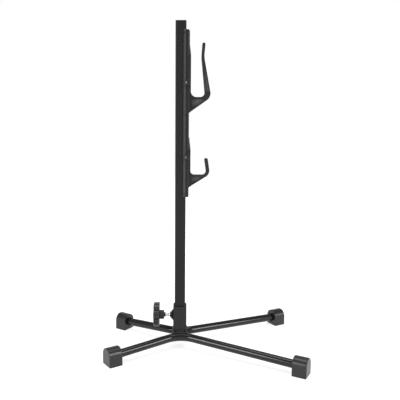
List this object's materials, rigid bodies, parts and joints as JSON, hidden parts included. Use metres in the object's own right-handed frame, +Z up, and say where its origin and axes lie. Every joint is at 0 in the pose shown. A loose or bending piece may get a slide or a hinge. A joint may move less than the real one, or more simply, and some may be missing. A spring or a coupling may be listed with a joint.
{
  "type": "floor bike rack",
  "caption": "Free-standing rack with four splayed tube legs and a square post that carries two height-adjustable J-shaped hooks for a bicycle frame.",
  "frame": {"origin": "centre of the overall box, on the floor", "axes": "+Z up along the post; +X to the side the hooks face; +Y to the rear leg"},
  "size_m": [0.4564, 0.3558, 0.7705],
  "materials": {
    "leg_paint": "gloss black powder coat",
    "plate_paint": "satin black powder coat",
    "sleeve_paint": "satin black powder coat",
    "post_paint": "satin black powder coat",
    "rail_alloy": "black anodised extrusion",
    "foot_plastic": "fine-grained black moulding",
    "cap_plastic": "satin black moulding",
    "hook_plastic": "satin dark grey moulding",
    "knob_plastic": "satin black moulding",
    "fastener_steel": "bright zinc plate",
    "fastener_black": "black zinc plate",
    "pad_nylon": "natural nylon"
  },
  "bodies": {
    "base": {"front_leg": "leg_paint", "rear_leg": "leg_paint", "foot_front_left": "foot_plastic", "foot_front_right": "foot_plastic", "foot_rear_left": "foot_plastic", "foot_rear_right": "foot_plastic", "base_plate": "plate_paint", "clamp_sleeve": "sleeve_paint", "sleeve_weld": "plate_paint", "weld_nut": "sleeve_paint", "nut_weld": "sleeve_paint"},
    "post": {"post_tube": "post_paint", "post_cap": "cap_plastic", "hook_rail": "rail_alloy", "rail_screws": "fastener_black"},
    "upper_carrier": {"upper_hook": "hook_plastic", "upper_jaws": "fastener_black", "upper_screws": "fastener_black", "upper_nuts": "fastener_steel"},
    "lower_carrier": {"lower_hook": "hook_plastic", "lower_jaws": "fastener_black", "lower_screws": "fastener_black", "lower_nuts": "fastener_steel"},
    "pad": {"clamp_pad": "pad_nylon"},
    "knob": {"knob_head": "knob_plastic", "knob_stud": "fastener_steel"}
  },
  "joints": [
    {"name": "post_slide", "type": "slide", "parent": "base", "child": "post", "axis": [0, 0, 1], "range_m": [0, 0.035]},
    {"name": "upper_hook_slide", "type": "slide", "parent": "post", "child": "upper_carrier", "axis": [0, 0, 1], "range_m": [-0.04, 0.018]},
    {"name": "lower_hook_slide", "type": "slide", "parent": "post", "child": "lower_carrier", "axis": [0, 0, 1], "range_m": [-0.02, 0.015]},
    {"name": "pad_travel", "type": "slide", "parent": "base", "child": "pad", "axis": [-1, 0, 0], "range_m": [0, 0.0032]},
    {"name": "knob_spin", "type": "hinge", "parent": "pad", "child": "knob", "pos_m": [-0.09, 0, 0.0766], "axis": [-1, 0, 0], "range_deg": [0, 900]}
  ],
  "couplings": [
    {"joint": "pad_travel", "follows": "knob_spin", "m_per_rad": 0.00019894}
  ]
}
